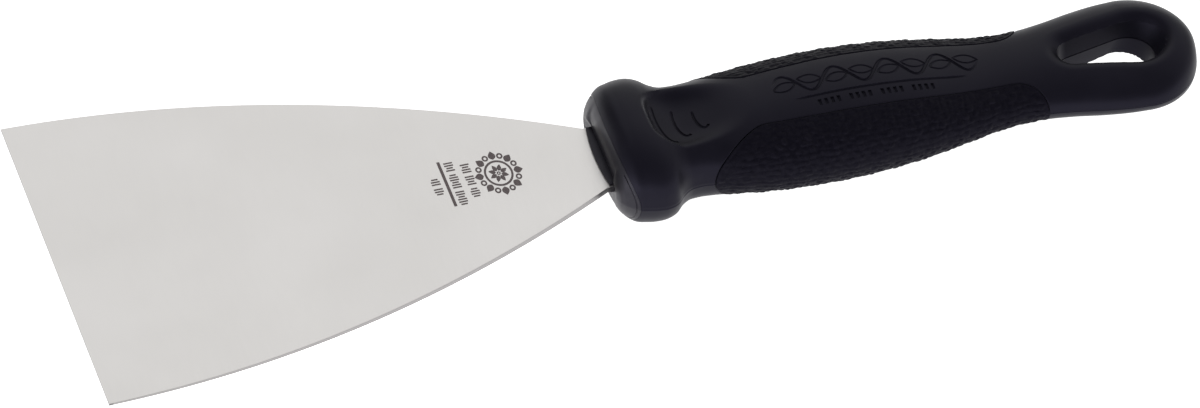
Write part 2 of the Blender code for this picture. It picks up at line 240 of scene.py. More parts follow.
# Ornament on the spine, in place of the maker's lettering: a vine, a rule and a row of bars
VINE_RADIUS, LEAF_RADIUS = 0.4 * MM, 0.26 * MM
RULE_RADIUS, BAR_RADIUS = 0.36 * MM, 0.36 * MM
TUBE_SIDES = 8
CUTTER_LIFT = 0.03 * MM  # every groove's tube is centred this far above the surface
FADE_SHARE = 0.1  # the share of a groove over which its end fades out
VINE_START, VINE_END = 142 * MM, 183.5 * MM
VINE_MIDDLE = 1.3 * MM
VINE_SWING = 2.7 * MM
VINE_WAVES = 4
LEAF_LENGTH, LEAF_HALF_WIDTH, LEAF_SHIFT = 4.7 * MM, 1.2 * MM, 0.5 * MM
LEAF_LEAN = math.radians(14)
RULE_START, RULE_END, RULE_ACROSS = 145.5 * MM, 180 * MM, -3.0 * MM
BAR_START, BAR_END, BAR_PITCH = 150 * MM, 174.5 * MM, 1.25 * MM
BAR_ACROSS, BAR_HALF_LENGTH = -4.9 * MM, 0.7 * MM
BAR_GROUP = 5  # every fifth bar is left out

# Etched mark on the blade, in place of the maker's crest and lettering: a rosette and rows of bars
MARK_HALF_THICKNESS = 0.012 * MM
ROSETTE_STATION, ROSETTE_ACROSS = 87.9 * MM, 1.1 * MM
ROSETTE_STRETCH = 1.34  # across the blade
ROSETTE_PETALS = 8
OVAL_RADIUS, OVAL_WIDTH = 2.55 * MM, 0.42 * MM
EYE_RADIUS, EYE_WIDTH = 0.26 * MM, 0.24 * MM
DOT_REACH, DOT_RADIUS, DOT_WIDTH = 3.75 * MM, 0.45 * MM, 0.34 * MM
OUTER_PETAL = (2.95 * MM, 4.75 * MM, 0.72 * MM)  # inner end, outer end and half width
INNER_PETAL = (0.5 * MM, 1.95 * MM, 0.42 * MM)
PETAL_FULLNESS = 0.8  # below 1, a petal is widest nearer its inner end
SMALL_RING_STEPS = 16
BAR_HEIGHT, BAR_WIDTH, ROW_PITCH = 1.75 * MM, 0.4 * MM, 0.7 * MM
SHORT_BAR = 0.72  # every third bar's height, as a share of the others'
BAR_ROWS = (  # station, start, end in mm, and the number of bars between gaps
    (82.2, -3.9, 6.0, 5),
    (79.3, -5.4, 7.2, 7),
    (75.6, -1.5, 3.1, 4),
)
MARK_RULE_STATION, MARK_RULE_START, MARK_RULE_END = 77.55 * MM, -5.6 * MM, 7.3 * MM
MARK_RULE_WIDTH = 0.6 * MM

# Mesh steps of the handle
SWEEP_STEPS = 34  # along each swept end of a window
WINDOW_STEP = 0.5 * MM
SEAM_TREE_STEP = 0.1 * MM
BOLSTER_STEPS, BOLSTER_CROWD = 104, 1.1  # an exponent above 1 crowds them towards the front
LOOP_STEP, LOOP_END_STEPS = 0.36 * MM, 38
NEAR_SEAM = (0, 0.06, 0.12, 0.18, 0.24, 0.32, 0.42)  # mm from a seam to the points beside it
STRIP_STEPS = 92  # between those
POCKET_STEPS = 11
NOSE_BACK = CAP_BACK + 1 * MM
NOSE_ROWS, NOSE_STEPS = 34, 216

# Materials
NOISE_LOW, NOISE_HIGH = 0.3, 0.7  # nearly all of a noise texture's values lie between these
# painted shade: the darker steel colour given to the sheet's narrow side faces
SIDE_SHADE_STEEL = (0.33, 0.32, 0.32)
SIDE_LEVEL, FACE_LEVEL = 0.4, 0.9  # how upright the normals of the sheet's sides and faces are

# Room: a glow is a product of ramps, each with its axis, its start and end, and its two levels
BACK_GLOW = (
    ("Z", 0.1, 0.58, 0.38, 1.0),
    ("Z", 0.7, 0.95, 1.0, 0.55),
    ("X", -0.5, -0.05, 0.3, 1.0),
    ("Y", -0.35, 0.45, 0.0, 1.0),
)
FRONT_GLOW = (
    ("Z", 0.15, 0.6, 1.8, 0.3),
    ("X", -0.8, -0.2, 2.2, 1.0),
    ("Y", -0.35, 0.45, 1.0, 0.0),
)
FLOOR_SIZE = 40.0

# Camera, at the photograph's viewing angle
SENSOR_WIDTH = 36
CAMERA_AZIMUTH = math.radians(-16.2)
CAMERA_ELEVATION = math.radians(42.5)
CAMERA_DISTANCE = 3306 * MM
CAMERA_LENS = 519.8
CAMERA_AIM_STATION = 107.14 * MM
CAMERA_AIM_SIDE = 0.52 * MM
CAMERA_AIM_RISE = -8.39 * MM


# ---- mesh helpers


def to_object(name, mesh):
    """Links a mesh made in stations, so that station 0 lies on the CAD's own front edge."""
    made = bpy.data.objects.new(name, mesh)
    made.location.x = CAD_LOW.x
    bpy.context.scene.collection.objects.link(made)
    return made


def finish_mesh(build, name):
    """The mesh of what was built, with close points merged and its normals outward."""
    bmesh.ops.remove_doubles(build, verts=build.verts, dist=0.002 * MM)
    bmesh.ops.recalc_face_normals(build, faces=build.faces)
    mesh = bpy.data.meshes.new(name)
    build.to_mesh(mesh)
    build.free()
    return mesh


def clean_mesh(rough, name):
    """A finished mesh in place of a rough one."""
    build = bmesh.new()
    build.from_mesh(rough)
    bpy.data.meshes.remove(rough)
    return finish_mesh(build, name)


def loft(rings, name, looped=False):
    """A closed mesh through rings of points, with a face at each end or joined end to end."""
    rows, columns = rings.shape[:2]
    index = np.arange(rows * columns).reshape(rows, columns)
    ahead = np.roll(index, -1, axis=0)
    ends = []
    if not looped:
        ends = [index[0].tolist(), index[-1].tolist()]
        index, ahead = index[:-1], ahead[:-1]
    corners = [index, np.roll(index, -1, axis=1), np.roll(ahead, -1, axis=1), ahead]
    quads = np.stack(corners, axis=-1).reshape(-1, 4)
    rough = bpy.data.meshes.new(name)
    rough.from_pydata(rings.reshape(-1, 3).tolist(), [], quads.tolist() + ends)
    return clean_mesh(rough, name)


def plate(outlines, half_thickness, name, arris=0.0):
    """A closed mesh of even thickness about Z = 0. The second outline and later ones are holes."""
    curve = bpy.data.curves.new(name, "CURVE")
    curve.dimensions = "2D"
    curve.fill_mode = "BOTH"
    curve.extrude = half_thickness - arris
    curve.bevel_depth = arris
    curve.bevel_resolution = 1
    curve.offset = -arris
    for outline in outlines:
        spline = curve.splines.new("POLY")
        spline.points.add(len(outline) - 1)
        for point, (x, y) in zip(spline.points, outline):
            point.co = (x, y, 0, 1)
        spline.use_cyclic_u = True
    guide = bpy.data.objects.new(name, curve)
    bpy.context.scene.collection.objects.link(guide)
    graph = bpy.context.evaluated_depsgraph_get()
    rough = bpy.data.meshes.new_from_object(guide.evaluated_get(graph))
    bpy.data.objects.remove(guide, do_unlink=True)
    return clean_mesh(rough, name)


def tube(path, radius, name, looped=False, upright=(0.0, 0.0, 1.0)):
    """A round tube along points in 3-D, for cutting a groove. No part of it runs along upright."""
    if looped:
        along = np.roll(path, -1, axis=0) - np.roll(path, 1, axis=0)
    else:
        along = np.gradient(path, axis=0)
    along /= np.linalg.norm(along, axis=1)[:, None]
    side = np.cross(along, upright)
    side /= np.linalg.norm(side, axis=1)[:, None]
    rise = np.cross(side, along)
    turn = np.arange(TUBE_SIDES) * 2 * math.pi / TUBE_SIDES
    ring = side[:, None] * np.cos(turn)[:, None] + rise[:, None] * np.sin(turn)[:, None]
    return loft(path[:, None] + radius * ring, name, looped)


def cut(target, operation, meshes):
    """Applies one Boolean of the target with all the meshes, and leaves only its result."""
    holder = bpy.data.collections.new("cutters")
    bpy.context.scene.collection.children.link(holder)
    for mesh in meshes:
        cutter = bpy.data.objects.new(mesh.name, mesh)
        cutter.location = target.location
        holder.objects.link(cutter)
    modifier = target.modifiers.new(operation, "BOOLEAN")
    modifier.operation = operation
    modifier.operand_type = "COLLECTION"
    modifier.collection = holder
    modifier.solver = "EXACT"
    graph = bpy.context.evaluated_depsgraph_get()
    rough = bpy.data.meshes.new_from_object(target.evaluated_get(graph))
    target.modifiers.clear()
    target.data = clean_mesh(rough, target.name)
    for cutter in list(holder.objects):
        bpy.data.objects.remove(cutter, do_unlink=True)
    bpy.data.collections.remove(holder)


def dress(piece, material, node, crease=38):
    """Gives a piece its material, its place in the frame, and smooth shading up to crease degrees."""
    piece.data.materials.clear()
    piece.data.materials.append(material)
    piece.data.shade_smooth()
    piece.data.set_sharp_from_angle(angle=math.radians(crease))
    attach(piece, "root")
    if node:
        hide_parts(node)


def full_turn(steps):
    return np.linspace(0, 2 * math.pi, steps + 1)[:-1]


def arc(centre, radius, angles):
    """Points round a flat centre. The radius may be a pair, along X and along Y."""
    return np.column_stack([np.cos(angles), np.sin(angles)]) * radius + centre


def leaf_shape(upper, angle, centre):
    """The outline between a curve and its mirror image in X, turned by an angle about a centre."""
    flat = np.concatenate([upper, upper[::-1][1:-1] * (1, -1)])
    turn = np.array([[math.cos(angle), math.sin(angle)], [-math.sin(angle), math.cos(angle)]])
    return flat @ turn + centre


# ---- the handle's form


def read_profile(table, stations):
    """Half widths and half thicknesses at stations, on a smooth curve through a table's rows."""
    rows = np.array(table) * MM
    knots, values = rows[:, 0], rows[:, 1:]
    slopes = np.gradient(values, knots, axis=0)
    i = np.clip(np.searchsorted(knots, stations) - 1, 0, len(knots) - 2)
    span = (knots[i + 1] - knots[i])[..., None]
    t = (stations - knots[i])[..., None] / span
    start = (1 + 2 * t) * (1 - t) ** 2 * values[i] + t * (1 - t) ** 2 * span * slopes[i]
    end = t**2 * (3 - 2 * t) * values[i + 1] + t**2 * (t - 1) * span * slopes[i + 1]
    return start + end


def handle_size(stations):
    """Half widths and half thicknesses of the handle's outer form."""
    at = np.clip(stations, HANDLE_FRONT, LENGTH - TIP)
    size = read_profile(HANDLE_PROFILE, np.minimum(at, LOOP_CENTRE))
    along = np.clip((at - LOOP_CENTRE) / (LENGTH - LOOP_CENTRE), 0, 1)
    fall = np.sqrt(1 - along**2)
    thin = (1 - along**LOOP_EDGE_SQUARENESS) ** (1 / LOOP_EDGE_SQUARENESS)
    return size * np.stack([fall, thin], axis=-1)


def smooth_step(values):
    share = np.clip(values, 0, 1)
    return share**2 * (3 - 2 * share)


def power(values, exponent):
    return np.sign(values) * np.abs(values) ** exponent


def squareness(stations, angles):
    """How square the handle's cross section is. It is more so on top near the front."""
    fuller = smooth_step((FULL_END - stations) / FULL_FADE) * (np.sin(angles) > 0)
    return HANDLE_SQUARENESS + (BOLSTER_SQUARENESS - HANDLE_SQUARENESS) * fuller


def section(size, angles, square):
    """Y and Z on superelliptic cross sections, at angles above the mid-plane."""
    y = size[..., 0] * power(np.cos(angles), 2 / square)
    z = size[..., 1] * power(np.sin(angles), 2 / square)
    return y, z


def soft_min(a, b, softness):
    blend = np.maximum(softness - np.abs(a - b), 0) / softness
    return np.minimum(a, b) - blend**2 * softness / 4


def dish_floor(station, y):
    """Height of the thumb rest's floor and front wall above the mid-plane."""
    front = DISH_FRONT + DISH_FRONT_ROUND * np.abs(y / DISH_HALF_WIDTH) ** 4
    wall = DISH_WALL_SLOPE * np.maximum(0, front - station)
    wall = wall + DISH_RISE * np.maximum(0, DISH_CLIMB_START - station) ** 2
    share = np.maximum(0, station - DISH_CLIMB_START) / (DISH_CLIMB_END - DISH_CLIMB_START)
    sides = DISH_BOW * y**2 + DISH_LIP * (y / DISH_HALF_WIDTH) ** 4
    return DISH_FLOOR + sides + wall + DISH_CLIMB * share**DISH_CLIMB_EXPONENT


def hole_ends(height):
    """The teardrop's two radii and its large end's station, at a height above the mid-plane."""
    draft, large_draft = (np.where(height < 0, -b, a) for a, b in zip(HOLE_DRAFTS, HOLE_LOWER_DRAFTS))
    small = HOLE_SMALL_RADIUS + height * draft
    large = HOLE_LARGE_RADIUS + height * large_draft
    return small, large, HOLE_LARGE_STATION + HOLE_LEAN * height


def hole_distance(station, y, small, large, large_station):
    """Distance outside a teardrop with these ends. It is negative inside."""
    span = large_station - HOLE_SMALL_STATION
    x, side = station - HOLE_SMALL_STATION, np.abs(y)
    lean = (small - large) / span
    level = np.sqrt(1 - lean**2)
    zone = level * x - lean * side
    straight = level * side + lean * x - small
    before = np.hypot(side, x) - small
    beyond = np.hypot(side, x - span) - large
    return np.where(zone < 0, before, np.where(zone > level * span, beyond, straight))


def rim_drop(station, y, z):
    """How far the rolled rim of the hang hole lies below the handle's own surface."""
    height = np.where(z < 0, -HOLE_RIM_HEIGHT, HOLE_RIM_HEIGHT)
    outside = hole_distance(station, y, *hole_ends(height))
    radius = HOLE_RIM_WIDTH / math.sin(HOLE_RIM_ANGLE)
    inward = np.clip(HOLE_RIM_WIDTH - outside, 0, HOLE_RIM_WIDTH)
    return radius - np.sqrt(radius**2 - inward**2)


def sculpt(station, y, z):
    """The height of a point of the handle's form after the thumb rests and the hole's rim."""
    height = soft_min(np.abs(z), dish_floor(station, y), DISH_SOFTNESS)
    height = np.where(np.abs(z) > height, height, np.abs(z))
    lowest = np.minimum(np.abs(z), HOLE_RIM_LOWEST)
    height = np.maximum(height - rim_drop(station, y, z), lowest)
    return np.sign(z) * height


def skin(stations, angles):
    """Points of the handle's finished outer surface. The last axis is X, Y and Z."""
    at = np.broadcast_to(stations, angles.shape)
    size = handle_size(at)
    y, z = section(size, angles, squareness(at, angles))
    fade = np.maximum(0, 1 - np.abs(z) / (PARTING_REACH * size[..., 1])) ** 2
    y = y - np.sign(y) * PARTING_DRAFT * np.abs(z) * fade
    return np.stack([at, y, sculpt(at, y, z)], axis=-1)


def lining(stations, angles, depth):
    """Points as far below the handle's plain form as depth."""
    at = np.broadcast_to(stations, angles.shape)
    y, z = section(handle_size(at) - depth, angles, squareness(at, angles))
    return np.stack([at, y, z], axis=-1)


def set_back(rings):
    """Adds a closed front to rings of the handle, and presses it back between the two lobes."""
    front = [rings[0] * (1, share, share) for share in FRONT_SHARES]
    points = np.concatenate([front, rings])
    x, y, z = np.moveaxis(points, -1, 0)
    across = smooth_step((HOLLOW_HALF_WIDTH - np.abs(y)) / HOLLOW_SIDE)
    along = smooth_step((HOLLOW_BACK - x) / HOLLOW_FADE)
    upward = smooth_step((HOLLOW_TOP - np.abs(z)) / HOLLOW_ROUND)
    points[..., 0] += HOLLOW_DEPTH * across * along * upward
    return points


def surface_height(station, y):
    """Height of the finished top surface at a station and a Y near the middle."""
    size = handle_size(station)
    share = np.abs(y / size[..., 0]) ** HANDLE_SQUARENESS
    return sculpt(station, y, size[..., 1] * (1 - share) ** (1 / HANDLE_SQUARENESS))


def on_surface(flat, lift=CUTTER_LIFT):
    """Lays (station, y) points on the top surface."""
    station, y = flat.T
    return np.stack([station, y, surface_height(station, y) + lift], axis=-1)


def stroke(flat, radius, name, fade_end=True):
    """A tube for a groove on the top surface, which fades out at its start and, if told, its end."""
    share = np.linspace(0, 1, len(flat))
    lift = CUTTER_LIFT + radius * np.maximum(0, 1 - share / FADE_SHARE) ** 2
    if fade_end:
        lift += radius * np.maximum(0, 1 - (1 - share) / FADE_SHARE) ** 2
    return tube(on_surface(flat, lift), radius, name)


# ---- grip pads


def pad_half_angle(stations, grow):
    """Half the angle that the pad's window takes up round the handle, seen along X."""
    front, rear = PAD_FRONT - grow, PAD_REAR + grow
    share = (stations - front) / (rear - front)
    angle = PAD_FRONT_ANGLE + (PAD_REAR_ANGLE - PAD_FRONT_ANGLE) * share + grow / PAD_LEVER
    before = np.clip((front + PAD_FRONT_SWEEP - stations) / PAD_FRONT_SWEEP, 0, 1)
    after = np.clip((stations - rear + PAD_REAR_SWEEP) / PAD_REAR_SWEEP, 0, 1)
    nose = (1 - before**PAD_FRONT_EXPONENT) ** (1 / PAD_FRONT_EXPONENT)
    tail = (1 - after**PAD_REAR_EXPONENT) ** (1 / PAD_REAR_EXPONENT)
    return angle * nose * tail


def window_stations(grow, middle_step):
    """Stations along the window, closer where its ends sweep round."""
    front, rear = PAD_FRONT - grow, PAD_REAR + grow
    turn = np.linspace(0, math.pi / 2, SWEEP_STEPS)
    nose = front + PAD_FRONT_SWEEP * (1 - np.cos(turn))
    tail = rear - PAD_REAR_SWEEP * (1 - np.sin(turn))
    steps = round((tail[0] - nose[-1]) / middle_step)
    middle = np.linspace(nose[-1], tail[0], steps + 1)
    stations = np.concatenate([nose, middle[1:-1], tail])
    stations[0] += TIP / 8
    stations[-1] -= TIP / 8
    return stations


def seam_tree(grow):
    """A search tree of points along the window's edge, which the two sides share."""
    stations = window_stations(grow, SEAM_TREE_STEP)
    quarters = np.arange(0, len(stations) - 1, 0.25)
    fine = np.interp(quarters, np.arange(len(stations)), stations)
    limits = pad_half_angle(fine, grow)
    points = np.concatenate([lining(fine, limits, 0.0), lining(fine, -limits, 0.0)])
    tree = KDTree(len(points))
    for i, point in enumerate(points):
        tree.insert(point, i)
    tree.balance()
    return tree


def seam_distances(points, tree):
    """Distance of each point from the nearer window's edge. The windows are mirror images."""
    flat = np.array(points).reshape(-1, 3)
    flat[:, 1] = np.abs(flat[:, 1])
    found = np.array([tree.find(point)[2] for point in flat])
    return found.reshape(points.shape[:-1])


def round_over(distances, radius):
    """How far a rounded edge lies below the surface, at a distance from the edge."""
    inward = np.clip(radius - distances, 0, radius)
    return radius - np.sqrt(radius**2 - inward**2)


def stray(u, v):
    """How far a yarn wanders from its straight line at a point."""
    return WEAVE_WANDER * np.sin(u / WANDER_LENGTH + 2 * np.sin(v / WANDER_LENGTH))


def yarn(along, across):
    """Height from 0 to 1 of one arched yarn, at a place in its cell measured from the middle."""
    rounding = np.sqrt(np.maximum(0, 1 - (YARN_SLIMNESS * across) ** 2))
    return np.cos(YARN_ARCH * along) * rounding


def wear(i, j):
    """The share of a yarn's height that is left at a crossing, which differs from one to the next."""
    first, second = (np.sin(turn_i * i + turn_j * j) for turn_i, turn_j in WEAR_TURNS)
    return 1 - YARN_WEAR + YARN_WEAR * first * second


def weave(u, v):
    """Height from 0 to 1 of a worn plain weave of wandering flat yarns."""
    u, v = u + stray(v, u), v + stray(u, v)
    i, j = np.floor(u / WEAVE_PITCH), np.floor(v / WEAVE_PITCH)
    a = u / WEAVE_PITCH - i - 0.5
    b = v / WEAVE_PITCH - j - 0.5
    return wear(i, j) * np.where((i + j) % 2 == 0, yarn(a, b), yarn(b, a))


def pad_angles(stations):
    """Angles across the pad, closer near its edges, at each station."""
    limit = pad_half_angle(stations, 0.0)[:, None]
    widest = 2 * PAD_FRONT_ANGLE * PAD_RADIUS
    share = np.linspace(-1, 1, round(widest / PAD_STEP_ACROSS))
    return limit * (share + PAD_EDGE_CROWD * np.sin(math.pi * share))


def make_pad(name, flip, tree):
    """One closed pad: its woven outer face, its two walls and its floor."""
    stations = window_stations(0.0, PAD_STEP_ALONG)[:, None]
    angles = pad_angles(stations[:, 0])
    base = lining(stations, angles, 0.0)
    inner = lining(stations, angles, PAD_DEPTH)
    steps = np.linalg.norm(np.diff(base, axis=1), axis=2)
    around = np.concatenate([np.zeros((len(base), 1)), np.cumsum(steps, axis=1)], axis=1)
    around -= around[:, [around.shape[1] // 2]]
    edge = seam_distances(base, tree)
    fade = np.clip((edge - WEAVE_START) / WEAVE_FADE, 0, 1)
    relief = WEAVE_HEIGHT * fade * (weave(base[..., 0], around) - WEAVE_SINK)
    lift = PAD_PROUD + relief - round_over(edge, PAD_EDGE_ROUND)
    outward = (base - inner) / PAD_DEPTH
    outer = base + outward * lift[..., None]
    floor_angles = angles[:, ::-1][:, :: angles.shape[1] // PAD_FLOOR_STEPS]
    floor = lining(stations, floor_angles, PAD_DEPTH)
    rings = np.concatenate([outer, inner[:, [-1]], floor[:, 1:-1], inner[:, [0]]], axis=1)
    return to_object(name, loft(rings * (1, flip, 1), name))


# ---- body


def strip_shares():
    """Places of the points across a strip from one seam to the next, closer near the seams."""
    edge = np.array(NEAR_SEAM) * MM / STRIP_LENGTH
    middle = np.linspace(edge[-1], 1 - edge[-1], STRIP_STEPS)
    return np.concatenate([edge[:-1], middle, 1 - edge[:-1][::-1]])


def body_stations():
    """Stations of the body's rings, closer in the bolster, round the windows' ends and in the loop."""
    window = window_stations(SEAM, WINDOW_STEP)
    bolster = np.linspace(0, 1, BOLSTER_STEPS) ** BOLSTER_CROWD
    before = HANDLE_FRONT + (window[0] - TIP - HANDLE_FRONT) * bolster
    loop = np.arange(window[-1] + TIP, LOOP_CENTRE, LOOP_STEP)
    turn = np.linspace(0, math.pi / 2, LOOP_END_STEPS)
    end = LOOP_CENTRE + (LENGTH - TIP - LOOP_CENTRE) * np.sin(turn)
    return np.concatenate([before, window, loop, end])


def strip(stations, limits, base_angle, tree):
    """The skin from one window's edge to the next, with its own edges rounded and grooved."""
    shares = strip_shares()
    angles = base_angle + limits + (math.pi - 2 * limits) * shares
    points = skin(stations, angles)
    inner = lining(stations, angles, PAD_DEPTH)
    drop = round_over(seam_distances(points, tree), BODY_EDGE_ROUND)
    ends = np.minimum(shares, 1 - shares) * STRIP_LENGTH
    drop[limits[:, 0] <= 0] = PARTING_GROOVE * np.maximum(0, 1 - ends / PARTING_GROOVE_WIDTH)
    return points + (inner - points) * (drop / PAD_DEPTH)[..., None]


def pocket(stations, limits, base_angle, edges):
    """The room for a pad: from one edge of the window, down, across its floor and up."""
    shares = np.linspace(-1, 1, POCKET_STEPS)
    floor = lining(stations, base_angle + limits * shares, PAD_DEPTH + SEAM)
    closed = limits[:, 0] <= 0
    floor[closed] = edges[closed][:, None]
    return floor


def body_form():
    """The body before its cuts: a strip above, a strip below, and a pocket for a pad at each side."""
    stations = body_stations()[:, None]
    limits = pad_half_angle(stations, SEAM)
    limits[(stations < PAD_FRONT - SEAM) | (stations > PAD_REAR + SEAM)] = 0
    tree = seam_tree(SEAM)
    top = strip(stations, limits, 0.0, tree)
    bottom = strip(stations, limits, math.pi, tree)
    left = pocket(stations, limits, math.pi, top[:, -1])
    right = pocket(stations, limits, 0.0, bottom[:, -1])
    return loft(set_back(np.concatenate([top, left, bottom, right], axis=1)), "body_form")


def hole_outline(small, large, large_station):
    """The teardrop: an arc round each end, joined by straight sides that touch both."""
    touch = math.pi / 2 + math.asin((large - small) / (large_station - HOLE_SMALL_STATION))
    rear = arc((large_station, 0), large, np.linspace(-touch, touch, HOLE_STEPS))
    front_angles = np.linspace(touch, 2 * math.pi - touch, HOLE_STEPS)
    return np.concatenate([rear, arc((HOLE_SMALL_STATION, 0), small, front_angles)])


def hole_cutter():
    """The hole's drafted prism, narrow at the mid-plane, with a parting groove round it there."""
    upper = np.linspace(HOLE_LINE_HALF_WIDTH, HOLE_CUT_HEIGHT, HOLE_LEVELS)
    rings = []
    for height in np.concatenate([-upper[::-1], [0], upper]):
        small, large, station = hole_ends(height)
        groove = HOLE_LINE_DEPTH if height == 0 else 0.0
        flat = hole_outline(small + groove, large + groove, station)
        rings.append(np.column_stack([flat, np.full(len(flat), height)]))
    return loft(np.array(rings), "hang_hole")


def groove_cutters():
    """The three grooves of each thumb rest. The lower face is the upper one turned over."""
    cutters = []
    for station, across, along_radius, across_radius, far_end, near_end in GROOVES:
        angles = np.radians(np.linspace(far_end, near_end, 40))
        flat = arc((station, across), (-along_radius, across_radius), angles) * MM
        upper = stroke(flat, GROOVE_RADIUS, "groove", fade_end=False)
        lower = upper.copy()
        lower.transform(Matrix.Rotation(math.pi, 4, "X"))
        cutters += [upper, lower]
    return cutters


def vine_line():
    station = np.linspace(VINE_START, VINE_END, 160)
    phase = (station - VINE_START) / (VINE_END - VINE_START) * VINE_WAVES * 2 * math.pi
    return np.column_stack([station, VINE_MIDDLE + VINE_SWING * np.sin(phase)])


def leaf_outline(station, across, lean):
    """An almond outline, pointed at both ends and turned by an angle."""
    t = np.linspace(-1, 1, 15)
    upper = np.column_stack([t * LEAF_LENGTH / 2, LEAF_HALF_WIDTH * (1 - t**2)])
    return leaf_shape(upper, lean, (station, across))


def ornament_cutters():
    cutters = [stroke(vine_line(), VINE_RADIUS, "vine")]
    half_wave = (VINE_END - VINE_START) / VINE_WAVES / 2
    for i in range(2 * VINE_WAVES):
        side = 1 if i % 2 == 0 else -1
        middle = VINE_START + half_wave * (i + 0.5)
        leaf = leaf_outline(middle, VINE_MIDDLE - LEAF_SHIFT * side, LEAF_LEAN * side)
        cutters.append(tube(on_surface(leaf), LEAF_RADIUS, "leaf", looped=True))
    rule = np.linspace((RULE_START, RULE_ACROSS), (RULE_END, RULE_ACROSS), 60)
    cutters.append(stroke(rule, RULE_RADIUS, "rule"))
    for i, station in enumerate(np.arange(BAR_START, BAR_END, BAR_PITCH)):
        if i % BAR_GROUP == BAR_GROUP - 1:
            continue
        ends = [(station, BAR_ACROSS + side * BAR_HALF_LENGTH) for side in (-1, 1)]
        bar = np.linspace(*ends, 5)
        cutters.append(tube(on_surface(bar), BAR_RADIUS, "bar"))
    return cutters


# ---- core


def oval_loft(stations, size, steps, square, name):
    """A closed mesh through superelliptic sections of these half widths and half thicknesses."""
    y, z = section(size[:, None], full_turn(steps)[None], square)
    x = np.repeat(stations[:, None], steps, axis=1)
    return loft(np.stack([x, y, z], axis=-1), name)


def core_bar(grow):
    """The bar inside the handle, or with some growth the room for it."""
    stations = np.linspace(CORE_PROFILE[0][0], CORE_PROFILE[-1][0], 40) * MM
    size = read_profile(CORE_PROFILE, stations) + grow
    stations[-1] += grow
    return oval_loft(stations, size, 48, 2, "core_bar")


def cap_edge(turn, inset):
    """Station and half thickness of the cap's rounded back, for a cap smaller all round."""
    reach = CAP_BACK - CAP_SHOULDER - inset
    station = CAP_SHOULDER + reach * power(np.sin(turn), 2 / CAP_ROUNDNESS)
    return station, (CAP_HALF_THICKNESS - inset) * power(np.cos(turn), 2 / CAP_ROUNDNESS)


def cap_block(grow):
    """An oval block along X, from in front of the handle to the cap's rounded back."""
    stations, heights = cap_edge(np.linspace(0, math.pi / 2, 22), -grow)
    stations = np.concatenate([[CAP_FRONT], stations])
    heights = np.maximum(TIP, np.concatenate([heights[:1], heights]))
    size = np.column_stack([np.full(len(heights), CAP_HALF_WIDTH + grow), heights])
    return oval_loft(stations, size, 144, CAP_SQUARENESS, "cap_block")


def lip_plate():
    outline = [(LIP_BACK, -LIP_HALF_WIDTH), (LIP_BACK, LIP_HALF_WIDTH)]
    for across in np.linspace(1, -1, 25):
        outline.append((LIP_FRONT - LIP_BULGE * (1 - across**2), LIP_HALF_WIDTH * across))
    return plate([outline], LIP_HALF_THICKNESS, "lip", ARRIS)


def nose_form():
    """The handle's front end, as far as just behind the cap."""
    stations = np.linspace(HANDLE_FRONT, NOSE_BACK, NOSE_ROWS)[:, None]
    angles = np.tile(full_turn(NOSE_STEPS), (NOSE_ROWS, 1))
    return loft(set_back(skin(stations, angles)), "nose_form")


def ring_angles(stations, heights, square):
    """Angles round the handle at which the cap's outline, seen from the front, meets its skin."""
    widths, thicknesses = handle_size(stations).T
    y = widths
    for _ in range(RING_PASSES):
        share = 1 - (y / CAP_HALF_WIDTH) ** CAP_SQUARENESS
        z = heights * share ** (1 / CAP_SQUARENESS)
        y = widths * (1 - (z / thicknesses) ** square) ** (1 / square)
    return np.arcsin((z / thicknesses) ** (square / 2))


def ring_cutters():
    """Tubes for the fine ring on each end of the cap, along the cap's own rounded back."""
    stations, heights = cap_edge(np.linspace(RING_START, math.pi / 2, 24), RING_INSET)
    upper = ring_angles(stations, heights, BOLSTER_SQUARENESS)
    lower = ring_angles(stations, heights, HANDLE_SQUARENESS)
    stations = np.concatenate([stations, stations[::-1][1:]])
    path = skin(stations, np.concatenate([upper, -lower[::-1][1:]]))
    upright = (0.0, 1.0, 0.0)
    return [tube(path * (1, side, 1), RING_RADIUS, "ring", upright=upright) for side in (-1, 1)]


# ---- blade


def blade_half_width(station):
    """Half the blade's width, whose sides curve in more and more towards the neck."""
    return EDGE_HALF_WIDTH - SIDE_SLOPE * station - SIDE_BEND * station**2


def neck_start():
    """The station where the curved sides have come in to the neck's width."""
    fall = EDGE_HALF_WIDTH - NECK_HALF_WIDTH
    return (math.sqrt(SIDE_SLOPE**2 + 4 * SIDE_BEND * fall) - SIDE_SLOPE) / (2 * SIDE_BEND)


def both_sides(side):
    """A closed outline from one side's points and their mirror image."""
    return side + [(x, -y) for x, y in reversed(side)]


def tang_outline(start, grow):
    """One side of the neck and tang, from a station on the neck to the tang's rounded end."""
    corner = TANG_HALF_WIDTH / 2
    end = TANG_END + grow
    half_width = TANG_HALF_WIDTH + grow
    side = [(start, NECK_HALF_WIDTH + grow), (NECK_END + grow, NECK_HALF_WIDTH + grow)]
    side.append((NECK_END + NECK_HALF_WIDTH - TANG_HALF_WIDTH + grow, half_width))
    side.extend(arc((end - corner, half_width - corner), corner, np.linspace(math.pi / 2, 0, 9)))
    return side


def lock_holes(radius):
    turn = full_turn(LOCK_HOLE_STEPS)
    return [arc((station, 0), radius, turn) for station in LOCK_HOLE_STATIONS]


def sheet_share(station):
    """The sheet's thickness at a station, as a share of its full thickness."""
    thinned = (1 - station / TAPER_END) * (1 - EDGE_HALF_THICKNESS / SHEET_HALF_THICKNESS)
    return 1 - max(0.0, thinned)


def taper(mesh):
    """Splits a flat plate where the taper starts, and thins it towards the edge."""
    build = bmesh.new()
    build.from_mesh(mesh)
    everything = build.verts[:] + build.edges[:] + build.faces[:]
    bmesh.ops.bisect_plane(build, geom=everything, plane_co=(TAPER_END, 0, 0), plane_no=(1, 0, 0))
    for vertex in build.verts:
        vertex.co.z *= sheet_share(vertex.co.x)
    build.to_mesh(mesh)
    build.free()


